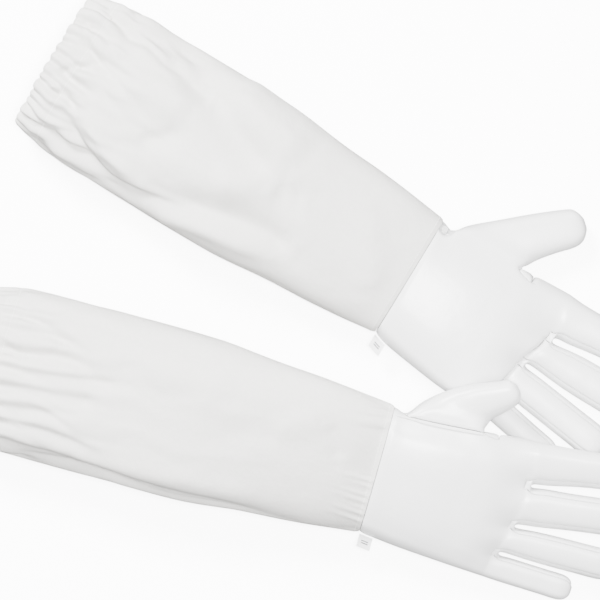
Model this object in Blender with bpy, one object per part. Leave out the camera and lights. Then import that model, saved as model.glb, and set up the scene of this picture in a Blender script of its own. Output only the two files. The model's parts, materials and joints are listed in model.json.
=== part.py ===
"""A pair of long beekeeping gloves: leather hands sewn to canvas sleeves with elastic cuffs.

The left glove lies palm up and the right glove back up, partly on top of it. Each glove is
built in its own frame: u runs along the hand from the wrist seam (0) to the fingers, v points
to the thumb's side and z up, so one set of functions makes both. The pieces of a hand are
patches of one closed surface, cut apart at their seams and given the leather's thickness.
Lengths are in millimetres until place() scales them to metres.
"""

import math

import bpy
from mathutils import Vector

MM = 0.001

# Materials
LEATHER = 1.1  # thickness of the glove leather
CANVAS = 1.2  # thickness of the sleeve canvas
INSET = 0.28  # each piece stops this far short of its seam line
GAP = 0.4  # between pieces that lie on each other

# Sections: a domed top over a flat underside with rounded edges
MID = 0.45  # height of a section's side edge, as a share of its thickness
DOME = 2.6  # exponent of the top's superellipse
FLAT = 0.55  # share of the half width where the underside is flat

# Hand
WRIST_HALF = 56.7
HAND_HEIGHT = [(0, 47), (50, 46), (95, 40), (130, 31)]
THUMB_SIDE = [(0, 56.5), (12, 51.5), (78, 55), (92, 57), (119, 58.5), (135, 59)]
HAND_ROWS = [0, 12, 28.5, 45, 61.5, 78, 92, 107]  # then two rows at the finger crotches
THUMB_ROWS = (1, 5)  # the rows where the thumb's opening starts and ends
SEAM_BACK = 5.0  # the fourchettes and finger fronts start this far behind the crotches
SEAM_SHARE = 0.76  # a finger's seams lie at this share of its half width
INNER_SHARE = 0.28  # and the columns between them at this one
EDGE_SHARE = 0.9  # outermost columns of the wrist, as a share of its half width
FINGERS = ("index", "middle", "ring", "little")
TIP_ANGLES = (0, 38, 66)  # degrees along a rounded tip
KNUCKLES = 80.0  # here the hand's thickness starts to turn into the fingers'
KNUCKLE_SWELL = 1.06  # thickness at the crotches, as a share of the finger's own
FINGER_BASE, FINGER_END = 1.04, 0.9  # the same at a finger's base and tip
FINGER_RINGS = (0.16, 0.38, 0.62, 0.84)  # along a finger's straight part
THUMB_RINGS = (0.0, 0.16, 0.34, 0.54, 0.76)  # along the thumb's rails
THUMB_SIDES = 0.8  # the thumb's seams, as a share of its half width
THUMB_THICK = (31.0, 25.0)  # the thumb's thickness at its base and its tip
THUMB_FLOOR = (2.0, 1.0)  # and the height of its underside
TIP_CROWN = 1.06  # the middle of its tip bulges this much beyond the tip's radius
THUMB_FREE = 0.34  # beyond this share of its length the thumb has its own section

# Sleeve
SLEEVE_LENGTH = 355.0
CASING = 21.5  # depth of the cuff's hem
SLEEVE_HALF = [(-355, 61), (-325, 69), (-270, 71), (-160, 71), (-105, 66), (-60, 63), (0, 56.7)]
SLEEVE_HEIGHT = [(-355, 60), (-320, 68), (-180, 72), (-60, 58), (0, 47)]
SLEEVE_ROWS = (0, -22, -48, -78, -110, -150, -195, -240, -285, -315)
SLEEVE_COLUMNS = 10
CHANNEL = 4.7  # height of the hem's fold, outside to inside
ELASTIC_WIDTH, ELASTIC_THICKNESS = 15.0, 1.3

# Lift of the right hand's thumb side, which rests on the left glove
LIFT_FROM, LIFT_SPAN, LIFT_FADE = -60.0, 120.0, 220.0

GLOVES = {
    "left": {
        "palm_up": True,
        "wrist": (77.8, 55.9),
        "heading": -8.0,
        "lift": 0.0,
        "little_side": [(0, -56.7), (15, -61), (60, -67), (76, -68.5), (118, -68.5)],
        "crotches": [(133.7, 16.9), (125.0, -12.7), (120.0, -44.0)],
        # centre across the hand, half width at base and middle, splay, length, thickness
        "fingers": [
            (38.3, 18.6, 16.4, 5.0, 88, 29),
            (2.1, 13.4, 16.4, 0.4, 102, 29),
            (-28.4, 14.2, 14.6, -7.0, 98, 27),
            (-57.0, 11.4, 11.4, -10.0, 70, 20),
        ],
        "thumb_outer": [(12, 51.5), (22, 65), (40, 81), (60, 99), (82, 117)],
        "thumb_inner": [(78, 55), (83, 63), (90, 73), (99, 84), (108, 94)],
        "thumb_tip": 15.0,
        "thumb_rise": 0.0,
    },
    "right": {
        "palm_up": False,
        "wrist": (117.1, -105.9),
        "heading": 8.0,
        "lift": 27.0,
        "little_side": [(0, -56.7), (33, -60.4), (83, -63.8), (118, -66)],
        "crotches": [(130.4, 21.2), (127.0, -15.9), (120.3, -42.5)],
        "fingers": [
            (40.5, 18.2, 15.6, 8.8, 89, 29),
            (2.7, 17.2, 15.6, 7.6, 99, 29),
            (-29.2, 12.0, 13.4, 0.6, 95, 27),
            (-55.0, 11.2, 11.2, -2.0, 71, 24),
        ],
        "thumb_outer": [(12, 51.5), (22, 66), (37, 79), (58, 91.5), (80, 100)],
        "thumb_inner": [(78, 55), (80.5, 64), (86, 70.5), (93, 77), (98, 82.5)],
        "thumb_tip": 10.0,
        "thumb_rise": 4.0,
    },
}

COLOURS = {
    "leather": ((0.90, 0.90, 0.90), 0.45),
    "canvas": ((0.82, 0.81, 0.78), 0.9),
    "elastic": ((0.85, 0.85, 0.83), 0.8),
    "tape": ((0.86, 0.86, 0.84), 0.85),
    "label": ((0.93, 0.93, 0.93), 0.7),
}


# ---------------------------------------------------------------- curves and sections


def mix(a, b, t):
    return a + (b - a) * t


def smooth(t):
    t = min(max(t, 0.0), 1.0)
    return t * t * (3 - 2 * t)


def along(stations, at):
    """Value at a place on the smooth curve through (place, value) stations."""
    places = [s[0] for s in stations]
    if at <= places[0] or at >= places[-1]:
        return stations[0 if at <= places[0] else -1][1]
    i = max(k for k in range(len(places) - 1) if places[k] <= at)

    def slope(k):
        low, high = max(k - 1, 0), min(k + 1, len(places) - 1)
        return (stations[high][1] - stations[low][1]) / (places[high] - places[low])

    span = places[i + 1] - places[i]
    t = (at - places[i]) / span
    rise = stations[i + 1][1] - stations[i][1]
    bend = t * (1 - t) * ((1 - t) * (slope(i) * span - rise) - t * (slope(i + 1) * span - rise))
    return stations[i][1] + rise * t + bend


def rail(points, t):
    """Point at t, 0 to 1, on the smooth curve through (u, v) points."""
    steps = len(points) - 1
    return tuple(along([(k / steps, p[axis]) for k, p in enumerate(points)], t) for axis in (0, 1))


def top_share(x):
    """Height of a section's top at share x of its half width, as a share of its thickness."""
    return MID + (1 - MID) * max(0.0, 1 - abs(x) ** DOME) ** (1 / DOME)


def bottom_share(x):
    """Height of a section's underside at share x of its half width."""
    edge = min(1.0, max(0.0, (abs(x) - FLAT) / (1 - FLAT)))
    return MID * (1 - math.sqrt(1 - edge * edge))


# ---------------------------------------------------------------- surfaces


class Surface:
    """Points and labelled triangles of a skin, with its rims' directions."""

    def __init__(self, glove):
        self.glove = glove
        self.points, self.triangles, self.rims = [], [], {}

    def add(self, spot, rim=None):
        self.points.append(spot.copy())
        if rim is not None:
            self.rims[len(self.points) - 1] = Vector(rim)
        return len(self.points) - 1

    def point(self, u, v, z, rim=None):
        return self.add(Vector((u, v, z + lift(self.glove, u, v))), rim)

    def quad(self, a, b, c, d, label):
        if label:
            self.triangles += [((a, b, c), label), ((a, c, d), label)]

    def strip(self, ring, following, labels, closed=True):
        """Quads between two rings, one label for each stretch of the ring."""
        count = len(ring) if closed else len(ring) - 1
        for i in range(count):
            j = (i + 1) % len(ring)
            self.quad(ring[i], ring[j], following[j], following[i], labels[i])

    def normals(self):
        total = [Vector() for _ in self.points]
        for (a, b, c), _ in self.triangles:
            pa, pb, pc = self.points[a], self.points[b], self.points[c]
            area = (pb - pa).cross(pc - pa)
            for k in (a, b, c):
                total[k] += area
        for k, axis in self.rims.items():
            total[k] -= axis * total[k].dot(axis)
        return [n.normalized() if n.length > 0 else n for n in total]


def lift(glove, u, v):
    """How far the hand is propped up there by the glove under it."""
    side = max(0.0, (v - LIFT_FROM) / LIFT_SPAN)
    return glove["lift"] * side * smooth(1 + u / LIFT_FADE)


def insets(points, triangles, distance):
    """Moves that pull a patch's boundary points back from its seam lines."""
    edges = {}
    for a, b, c in triangles:
        for start, end in ((a, b), (b, c), (c, a)):
            edges[(start, end)] = (a, b, c)
    pulls = {}
    for (start, end), corners in edges.items():
        if (end, start) in edges:
            continue
        pa, pb, pc = (points[k] for k in corners)
        normal = (pb - pa).cross(pc - pa).normalized()
        inward = normal.cross(points[end] - points[start]).normalized()
        for k in (start, end):
            pulls.setdefault(k, []).append(inward)
    moves = {}
    for k, directions in pulls.items():
        total = sum(directions, Vector())
        mitre = max(0.35, total.length_squared / len(directions))
        moves[k] = total * (distance / mitre)
    return moves


def shell(surface, label, thickness, depth=0.0, inset=INSET):
    """Closed solid under a patch of the surface: its points and faces.

    The patch is sunk by depth, pulled back at its edges by inset, and thickened inwards.
    """
    normals = surface.normals()
    patch = [t for t, name in surface.triangles if name == label]
    moves = insets(surface.points, patch, inset)
    used = sorted({k for t in patch for k in t})
    place = {k: i for i, k in enumerate(used)}
    outer = [surface.points[k] + moves.get(k, Vector()) - normals[k] * depth for k in used]
    inner = [p - normals[k] * thickness for p, k in zip(outer, used)]
    count = len(used)
    faces, directed = [], set()
    for a, b, c in patch:
        a, b, c = place[a], place[b], place[c]
        faces += [(a, b, c), (c + count, b + count, a + count)]
        directed |= {(a, b), (b, c), (c, a)}
    for a, b in sorted(directed):
        if (b, a) not in directed:
            faces += [(b, a, a + count), (b, a + count, b + count)]
    return outer + inner, faces


# ---------------------------------------------------------------- the hand


def hand_edges(glove, u):
    """Centre and half width of the hand's section at u."""
    high, low = along(THUMB_SIDE, u), along(glove["little_side"], u)
    return (high + low) / 2, (high - low) / 2


def finger_shares():
    return (SEAM_SHARE, INNER_SHARE, -INNER_SHARE, -SEAM_SHARE)


def crotch_line(glove, v):
    """Where along the hand the fingers begin, at v across it."""
    little = glove["fingers"][-1]
    ends = [(little[0] - little[1], 116.0)] + [(c[1], c[0]) for c in reversed(glove["crotches"])]
    return along(ends + [(60.0, 127.0)], v)


def column_places(glove):
    """The 16 columns of a hand, four a finger: (finger, share of it, v at the crotches)."""
    for index, (centre, half, *_) in enumerate(glove["fingers"]):
        for share in finger_shares():
            yield index, share, centre + share * half


def hand_ring(surface, glove, row):
    """One row of the hand's skin: thumb side, top, little side, underside."""
    columns = list(column_places(glove))
    last = len(HAND_ROWS) + 1
    rim = (1, 0, 0) if row == 0 else None
    opening = THUMB_ROWS[0] <= row <= THUMB_ROWS[1]
    base_normal = thumb_base_normal() if opening else None

    def row_place(v_crotch):
        if row >= len(HAND_ROWS):
            return crotch_line(glove, v_crotch) - SEAM_BACK * (last - row)
        return HAND_ROWS[row]

    def corner(column, shares):
        finger, share, v_crotch = columns[column]
        u = row_place(v_crotch)
        centre, half = hand_edges(glove, u)
        centre_last, half_last = hand_edges(glove, crotch_line(glove, v_crotch))
        x_wrist = EDGE_SHARE * (1 - 2 * column / (len(columns) - 1))
        x = mix(x_wrist, (v_crotch - centre_last) / half_last, smooth(u / 125))
        wide = shares(x) * along(HAND_HEIGHT, u)
        narrow = shares(share) * glove["fingers"][finger][5] * KNUCKLE_SWELL
        parted = (u - KNUCKLES) / (crotch_line(glove, v_crotch) - KNUCKLES)
        z = mix(wide, narrow, smooth(parted))
        v = centre + x * half
        if opening and column == 0:
            v, z = along(THUMB_SIDE, u), shares(EDGE_SHARE) * along(HAND_HEIGHT, u)
            return surface.point(u, v, z, base_normal)
        return surface.point(u, v, z, rim)

    def side(v_crotch, sign, finger):
        u = row_place(v_crotch)
        centre, half = hand_edges(glove, u)
        height = mix(along(HAND_HEIGHT, u), glove["fingers"][finger][5], smooth((u - KNUCKLES) / 45))
        held = base_normal if sign > 0 else None
        return surface.point(u, centre + sign * half, MID * height, held or rim)

    first, final = glove["fingers"][0], glove["fingers"][-1]
    near = side(first[0] + first[1], 1, 0)
    top = [corner(k, top_share) for k in range(len(columns))]
    far = side(final[0] - final[1], -1, 3)
    bottom = [corner(k, bottom_share) for k in reversed(range(len(columns)))]
    return [near] + top + [far] + bottom


def side_names(glove):
    """Names of the panels that are on top and underneath."""
    names = ("palm_panel", "back_panel")
    return names if glove["palm_up"] else names[::-1]


def finger_panel(panel, finger):
    """The piece that covers a finger on one side: two fronts are set in."""
    if panel == "palm_panel" and finger in (1, 2):
        return FINGERS[finger] + "_front"
    return panel


def fourchette(gap):
    return f"fourchette_{FINGERS[gap]}_{FINGERS[gap + 1]}"


def hand_labels(glove, row):
    """The piece of each stretch of the hand's skin between two rows."""
    top, bottom = side_names(glove)
    last_row = row == len(HAND_ROWS)

    def panels(name):
        labels = []
        for k in range(15):
            if k % 4 == 3:
                labels.append(fourchette(k // 4) if last_row else name)
            else:
                labels.append(finger_panel(name, k // 4) if last_row else name)
        return labels

    near_top, near_bottom = top, bottom
    if THUMB_ROWS[0] <= row < THUMB_ROWS[1]:
        near_top = near_bottom = None
    elif row == THUMB_ROWS[1]:
        near_top = near_bottom = "thumb_gusset"
    return [near_top] + panels(top) + [top, bottom] + panels(bottom)[::-1] + [near_bottom]


def add_tip(surface, ring, points, labels):
    """Closes a finger or thumb beyond its last ring, over a row of middle points."""
    count = (len(ring) - 2) // 2
    top, bottom = ring[1 : count + 1], ring[count + 2 :][::-1]
    middle = [ring[0]] + points + [ring[count + 1]]
    for k in range(count - 1):
        surface.quad(top[k], top[k + 1], middle[k + 1], middle[k], labels[0])
        surface.quad(middle[k], middle[k + 1], bottom[k + 1], bottom[k], labels[1])


def tip_ring(angle):
    """Width and advance of a rounded tip at an angle, as shares of its half width and radius."""
    turned = math.radians(angle)
    return math.cos(turned) ** 0.8, math.sin(turned), math.cos(turned) ** 0.6


def finger_rings(surface, glove, finger, base):
    """Skin of one finger from its base ring on the hand to its tip."""
    centre, half, half_middle, splay, length, height = glove["fingers"][finger]
    start = crotch_line(glove, centre)
    radius = half_middle * 0.95
    body = length - radius
    stations = [(share * body, 1.0, 1.0) for share in FINGER_RINGS]
    for angle in TIP_ANGLES:
        width, advance, thick = tip_ring(angle)
        stations.append((body + advance * radius, width, thick))
    top, bottom = side_names(glove)
    top, bottom = finger_panel(top, finger), finger_panel(bottom, finger)
    near = [fourchette(finger - 1)] * 2 if finger > 0 else [top, bottom]
    far = [fourchette(finger)] * 2 if finger < 3 else [top, bottom]
    labels = [near[0]] + [top] * 3 + far + [bottom] * 3 + [near[1]]

    def spot(s, share, z):
        turned = math.radians(splay) * min(1.0, s / 20)
        wide = mix(half, half_middle, smooth(s / 45))
        lag = crotch_line(glove, centre + share * half) - start
        lag *= max(0.0, 1 - s / 30)
        reach_u = s * math.cos(math.radians(splay)) - share * wide * math.sin(turned)
        reach_v = s * math.sin(math.radians(splay)) + share * wide * math.cos(turned)
        return surface.point(start + reach_u + lag, centre + reach_v, z)

    ring = base
    for s, width, thick in stations:
        tall = height * mix(FINGER_BASE, FINGER_END, s / length)
        low = MID * tall

        def level(share):
            return low + (share * tall - low) * thick

        tops = [spot(s, f * width, level(top_share(f))) for f in finger_shares()]
        lows = [spot(s, f * width, level(bottom_share(f))) for f in finger_shares()]
        sides = [spot(s, f * width, low) for f in (1, -1)]
        following = [sides[0]] + tops + [sides[1]] + lows[::-1]
        surface.strip(ring, following, labels)
        ring = following
    crown = MID * height * FINGER_END
    ends = [spot(length, f, crown) for f in (INNER_SHARE * 0.6, -INNER_SHARE * 0.6)]
    add_tip(surface, ring, ends, (top, bottom))


def hand_surface(glove):
    """Skin of the hand without its thumb, with the label of each piece."""
    surface = Surface(glove)
    rings = [hand_ring(surface, glove, row) for row in range(len(HAND_ROWS) + 2)]
    for row in range(len(rings) - 1):
        surface.strip(rings[row], rings[row + 1], hand_labels(glove, row))
    last = rings[-1]
    top, bottom = last[1:17], last[18:][::-1]
    inner = []
    for gap, (u, v) in enumerate(glove["crotches"]):
        pair = []
        for finger, sign in ((gap, -1), (gap + 1, 1)):
            centre, half = glove["fingers"][finger][:2]
            height = MID * glove["fingers"][finger][5]
            pair.append(surface.point(u + 1.0, centre + sign * half, height))
        a, b = 4 * gap + 3, 4 * gap + 4
        surface.quad(top[a], top[b], pair[1], pair[0], fourchette(gap))
        surface.quad(pair[0], pair[1], bottom[b], bottom[a], fourchette(gap))
        inner.append(pair)
    for finger in range(4):
        near = last[0] if finger == 0 else inner[finger - 1][1]
        far = last[17] if finger == 3 else inner[finger][0]
        tops, lows = top[4 * finger : 4 * finger + 4], bottom[4 * finger : 4 * finger + 4]
        finger_rings(surface, glove, finger, [near] + tops + [far] + lows[::-1])
    return surface, rings


# ---------------------------------------------------------------- the thumb


def thumb_base_line():
    """The two ends of the straight line where the thumb is sewn on."""
    return [(HAND_ROWS[row], along(THUMB_SIDE, HAND_ROWS[row])) for row in THUMB_ROWS]


def thumb_base_normal():
    (u0, v0), (u1, v1) = thumb_base_line()
    length = math.hypot(u1 - u0, v1 - v0)
    return Vector(((v0 - v1) / length, (u1 - u0) / length, 0))


def thumb_surface(glove):
    """Skin of the thumb from its straight seam on the hand to its tip."""
    surface = Surface(glove)
    normal = thumb_base_normal()
    front = "thumb_front" if glove["palm_up"] else "thumb_back"
    under = "thumb_back" if glove["palm_up"] else "thumb_front"
    ends = [rail(glove[name], 1.0) for name in ("thumb_outer", "thumb_inner")]
    across = Vector(ends[1]) - Vector(ends[0])
    ahead = Vector((-across.y, across.x)).normalized()
    stations = [(t, 1.0, 0.0, 1.0) for t in THUMB_RINGS]
    for angle in TIP_ANGLES:
        width, advance, thick = tip_ring(angle)
        stations.append((1.0, width, advance * glove["thumb_tip"], thick))
    columns = (-1, -0.5, 0, 0.5, 1)

    def spot(t, x, z, advance):
        """x is 1 on the side towards the index finger and -1 on the outer side."""
        outer, inner = rail(glove["thumb_outer"], t), rail(glove["thumb_inner"], t)
        flat = Vector(outer).lerp(Vector(inner), (1 + x) / 2) + ahead * advance
        rim = None
        if t == 0:
            flat += normal.xy * INSET
            rim = normal
        return surface.point(flat.x, flat.y, z, rim)

    def heights(t, x, thick):
        """Levels of the top, the side edge and the underside."""
        u = mix(HAND_ROWS[THUMB_ROWS[0]], HAND_ROWS[THUMB_ROWS[1]], (1 + x) / 2)
        hand = along(HAND_HEIGHT, u)
        tall = mix(*THUMB_THICK, t)
        floor = mix(THUMB_FLOOR[0], THUMB_FLOOR[1] + glove["thumb_rise"], t)
        middle = floor + MID * tall
        blended = smooth(t / THUMB_FREE)
        levels = []
        for shares in (top_share, bottom_share):
            own = floor + shares(x * THUMB_SIDES) * tall
            own = middle + (own - middle) * thick
            levels.append(mix(shares(EDGE_SHARE) * hand, own, blended))
        return levels[0], mix(MID * hand, middle, blended), levels[1]

    ring = None
    for t, width, advance, thick in stations:
        share = mix(1.0, THUMB_SIDES, smooth(t / THUMB_FREE)) * width
        tops = [spot(t, x * share, heights(t, x, thick)[0], advance) for x in columns]
        lows = [spot(t, x * share, heights(t, x, thick)[2], advance) for x in columns]
        sides = [spot(t, x * width, heights(t, x, thick)[1], advance) for x in (-1, 1)]
        following = [sides[0]] + tops + [sides[1]] + lows[::-1]
        if ring:
            surface.strip(ring, following, [front] * 6 + [under] * 6)
        ring = following
    crown = heights(1.0, 0, 1)[1]
    end = glove["thumb_tip"] * TIP_CROWN
    tips = [spot(1.0, x, crown, end) for x in (-0.25, 0, 0.25)]
    add_tip(surface, ring, tips, (front, under))
    return surface


# ---------------------------------------------------------------- sleeve and trim


def sleeve_ring(surface, glove, u, inset=0.0, rim=None):
    """One ring of the sleeve: thumb side, top, little side, underside."""
    half = along(SLEEVE_HALF, u) - inset
    tall = along(SLEEVE_HEIGHT, u)

    def corner(x, share):
        return surface.point(u, x * half, inset + share * (tall - 2 * inset), rim)

    turns = [math.pi / 2 * (1 - (2 * k + 1) / SLEEVE_COLUMNS) for k in range(SLEEVE_COLUMNS)]
    shares = [math.sin(turn) for turn in turns]
    tops = [corner(x, top_share(x)) for x in shares]
    lows = [corner(x, bottom_share(x)) for x in reversed(shares)]
    return [corner(1, MID)] + tops + [corner(-1, MID)] + lows


def ring_shell(glove, path, thickness, pick=None):
    """Solid of a sleeve-shaped band along (u, inset) stations, or of some of its columns."""
    surface = Surface(glove)
    rings = []
    for k, (u, inset) in enumerate(path):
        rim = (1, 0, 0) if k in (0, len(path) - 1) else None
        rings.append(sleeve_ring(surface, glove, u, inset, rim))
    for ring, following in zip(rings, rings[1:]):
        if pick:
            ring, following = ring[pick], following[pick]
        surface.strip(ring, following, ["band"] * len(ring), closed=pick is None)
    return shell(surface, "band", thickness)


def sleeve_solids(glove):
    """The sleeve and what is sewn to it, as name: (points, faces)."""
    hem = CASING - SLEEVE_LENGTH
    fold = CHANNEL / 2
    cuff = -SLEEVE_LENGTH
    rows = list(SLEEVE_ROWS) + [hem]
    corner = fold * (1 - math.sqrt(0.5))
    casing = [(hem, 0), (cuff + fold, 0), (cuff + corner, corner), (cuff, fold)]
    casing += [(cuff + corner, CHANNEL - corner), (cuff + fold, CHANNEL), (hem + 4, CHANNEL)]
    elastic_start = cuff + CHANNEL
    elastic_inset = CANVAS + GAP + 0.3
    inner = CANVAS + GAP + 0.1
    doubled = CANVAS - 0.1
    back_columns = slice(2, SLEEVE_COLUMNS)
    if glove["palm_up"]:
        back_columns = slice(SLEEVE_COLUMNS + 3, 2 * SLEEVE_COLUMNS + 1)
    seam_columns = slice(SLEEVE_COLUMNS + 1, SLEEVE_COLUMNS + 3)
    seam_rows = [-4.0] + rows[1:-1] + [hem + 2]
    return {
        "sleeve": ring_shell(glove, [(u, 0) for u in rows[::-1]], CANVAS),
        "cuff_casing": ring_shell(glove, casing[::-1], doubled),
        "cuff_elastic": ring_shell(
            glove,
            [(elastic_start, elastic_inset), (elastic_start + ELASTIC_WIDTH, elastic_inset)],
            ELASTIC_THICKNESS,
        ),
        "wrist_elastic": ring_shell(glove, [(-12, inner), (-4, inner)], 1.0, back_columns),
        "sleeve_seam": ring_shell(
            glove, [(u, -GAP - 0.8) for u in seam_rows[::-1]], 0.8, seam_columns
        ),
    }


def wrist_binding(glove, rings, points):
    """Tape round the inside of the leather's edge at the wrist."""
    surface = Surface(glove)
    bands = []
    for share in (0.1, 0.65):  # from the wrist seam towards the next row
        pairs = zip(rings[0], rings[1])
        bands.append([surface.add(points[a].lerp(points[b], share), (1, 0, 0)) for a, b in pairs])
    surface.strip(bands[0], bands[1], ["band"] * len(bands[0]))
    return shell(surface, "band", 0.8, depth=LEATHER + 2 * GAP)


def size_label(glove):
    """Small flat flag that stands out of the wrist seam on the little finger's side."""
    near, width, reach, thickness = 0.8, 12.0, 11.0, 0.6
    level = MID * along(HAND_HEIGHT, 0)
    corners = []
    for u in (near, near + width):
        edge = along(glove["little_side"], u) - GAP - 0.3
        corners += [(u, edge), (u, edge - reach)]
    points = [Vector((u, v, level + z)) for z in (thickness, 0) for u, v in corners]
    faces = [(0, 1, 3, 2), (4, 6, 7, 5), (0, 4, 5, 1), (1, 5, 7, 3), (3, 7, 6, 2), (2, 6, 4, 0)]
    return points, faces


def piping_route(glove, surface, rings):
    """Middle of the bead that covers the back panel's edge along the thumb."""
    radius, from_edge = 1.0, 2.6
    clearance = GAP + 0.5
    normals = surface.normals()
    edge, inward = (-1, -2) if glove["palm_up"] else (1, 2)
    route = []
    for row in range(THUMB_ROWS[1] + 1):
        a, b = rings[row][edge], rings[row][inward]
        start = surface.points[a]
        towards = (surface.points[b] - start).normalized()
        route.append(start + towards * from_edge + normals[a] * (radius + clearance))
    route[0].x += 1.5
    return route, radius


# ---------------------------------------------------------------- joints and placing


def wrist_hinge(glove):
    """A point and the direction of the fold line along the top of the wrist seam."""
    middle = along(HAND_HEIGHT, 0) + 0.5 + lift(glove, 0, 0)
    rise = (lift(glove, 0, WRIST_HALF) - lift(glove, 0, 0)) / WRIST_HALF
    return Vector((0, 0, middle)), Vector((0, 1, rise)).normalized()


def thumb_hinge(glove):
    """A point and the direction of the fold line along the top of the thumb's seam."""
    ends = []
    for u, v in thumb_base_line():
        level = top_share(EDGE_SHARE) * along(HAND_HEIGHT, u) + 1.5
        ends.append(Vector((u, v, level + lift(glove, u, v))))
    return (ends[0] + ends[1]) / 2, (ends[1] - ends[0]).normalized()


def to_pair(glove, spot):
    """A point of the glove's own frame in the pair's frame, before it is centred."""
    turned = math.radians(glove["heading"])
    u, v, z = spot
    x = glove["wrist"][0] + u * math.cos(turned) - v * math.sin(turned)
    y = glove["wrist"][1] + u * math.sin(turned) + v * math.cos(turned)
    return Vector((x, y, z))


def material(name):
    colour, roughness = COLOURS[name]
    made = bpy.data.materials.new(name)
    made.use_nodes = True
    shader = made.node_tree.nodes["Principled BSDF"]
    shader.inputs["Base Color"].default_value = (*colour, 1)
    shader.inputs["Roughness"].default_value = roughness
    shader.inputs["Metallic"].default_value = 0
    return made


def empty(name, parent, spot):
    made = bpy.data.objects.new(name, None)
    bpy.context.scene.collection.objects.link(made)
    made.parent = parent
    made.location = spot * MM
    return made


def place(data, name, parent, made_of):
    data.materials.append(made_of)
    made = bpy.data.objects.new(name, data)
    bpy.context.scene.collection.objects.link(made)
    made.parent = parent
    return made


def solid(name, shape, parent, pivot, made_of):
    """One piece, from points in the glove's frame, hung on an empty at its pivot."""
    points, faces = shape
    mesh = bpy.data.meshes.new(name)
    mesh.from_pydata([tuple((p - pivot) * MM) for p in points], [], faces)
    mesh.validate()
    mesh.shade_smooth()
    mesh.set_sharp_from_angle(angle=math.radians(50))
    return place(mesh, name, parent, made_of)


def tube(name, route, radius, parent, made_of):
    """A round bead along a route."""
    curve = bpy.data.curves.new(name, "CURVE")
    curve.dimensions = "3D"
    curve.bevel_depth = radius * MM
    curve.bevel_resolution = 2
    curve.use_fill_caps = True
    spline = curve.splines.new("POLY")
    spline.points.add(len(route) - 1)
    for point, spot in zip(spline.points, route):
        point.co = (*(spot * MM), 1)
    return place(curve, name, parent, made_of)


def glove_shapes(glove):
    """Every solid of one glove by body, and the piping's route."""
    hand, rings = hand_surface(glove)
    thumb = thumb_surface(glove)
    labels = sorted({name for _, name in hand.triangles})
    shapes = {"hand": {name: shell(hand, name, LEATHER) for name in labels}}
    shapes["hand"]["wrist_binding"] = wrist_binding(glove, rings, hand.points)
    shapes["hand"]["size_label"] = size_label(glove)
    shapes["thumb"] = {name: shell(thumb, name, LEATHER) for name in ("thumb_front", "thumb_back")}
    shapes["sleeve"] = sleeve_solids(glove)
    return shapes, piping_route(glove, hand, rings)


def made_of(name):
    """The material of a piece."""
    for key, choice in (
        ("elastic", "elastic"),
        ("binding", "tape"),
        ("label", "label"),
        ("sleeve", "canvas"),
        ("casing", "canvas"),
    ):
        if key in name:
            return choice
    return "leather"


def main():
    for old in list(bpy.data.objects):
        bpy.data.objects.remove(old, do_unlink=True)
    pair = {side: glove_shapes(glove) for side, glove in GLOVES.items()}
    spots = [
        to_pair(GLOVES[side], p)
        for side, (bodies, _) in pair.items()
        for shapes in bodies.values()
        for points, _ in shapes.values()
        for p in points
    ]
    middle = [(min(s[k] for s in spots) + max(s[k] for s in spots)) / 2 for k in (0, 1)]
    low = min(s.z for s in spots)
    centre = Vector((*middle, low))
    materials = {name: material(name) for name in COLOURS}
    for side, (bodies, piping) in pair.items():
        glove = GLOVES[side]
        root = empty(side + "_glove", None, to_pair(glove, (0, 0, 0)) - centre)
        root.rotation_euler.z = math.radians(glove["heading"])
        pivots = {
            "hand": Vector(),
            "thumb": thumb_hinge(glove)[0],
            "sleeve": wrist_hinge(glove)[0],
        }
        for body, shapes in bodies.items():
            parent = root
            if body != "hand":
                parent = empty(f"{side}_{body}_pivot", root, pivots[body])
            for name, shape in shapes.items():
                solid(f"{side}_{name}", shape, parent, pivots[body], materials[made_of(name)])
        tube(f"{side}_side_piping", *piping, root, materials["leather"])


main()
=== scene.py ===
"""Looks of a pair of long beekeeping gloves: white leather hands on off-white canvas sleeves.

Every glove is built in its own frame in millimetres: u runs along the hand from the wrist seam
(0) to the fingers, v points to the thumb's side and z up. The wrist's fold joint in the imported
record gives that frame its place. One smooth skin covers a hand and is cut at its seams into
panels. A sleeve is one grid of points, and all that is sewn to the sleeve is placed on it.
"""

import json
import math
import random
from types import SimpleNamespace

import bpy
import numpy as np
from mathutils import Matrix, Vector, noise
from mathutils.kdtree import KDTree


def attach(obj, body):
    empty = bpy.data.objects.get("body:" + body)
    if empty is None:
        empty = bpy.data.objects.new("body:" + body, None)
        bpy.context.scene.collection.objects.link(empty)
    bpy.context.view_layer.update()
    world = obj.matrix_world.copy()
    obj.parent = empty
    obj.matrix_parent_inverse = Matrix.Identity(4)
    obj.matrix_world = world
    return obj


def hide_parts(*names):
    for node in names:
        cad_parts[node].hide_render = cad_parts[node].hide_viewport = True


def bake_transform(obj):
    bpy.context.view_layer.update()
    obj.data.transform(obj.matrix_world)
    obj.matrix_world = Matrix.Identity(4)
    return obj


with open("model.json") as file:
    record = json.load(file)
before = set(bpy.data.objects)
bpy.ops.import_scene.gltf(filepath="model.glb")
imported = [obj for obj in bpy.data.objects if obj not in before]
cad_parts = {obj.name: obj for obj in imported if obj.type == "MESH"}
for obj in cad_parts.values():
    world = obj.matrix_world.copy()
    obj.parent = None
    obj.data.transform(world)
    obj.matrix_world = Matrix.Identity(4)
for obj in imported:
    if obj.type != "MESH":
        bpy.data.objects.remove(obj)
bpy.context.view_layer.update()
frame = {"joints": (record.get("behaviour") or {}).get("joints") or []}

MM = 0.001
LEATHER = 1.1  # thickness of the glove leather
CANVAS = 1.2  # thickness of the sleeve canvas
LEVEL = 3  # subdivisions of the hand's skin
FITTING = 3  # rounds that draw the smooth skin to its coarse points

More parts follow.
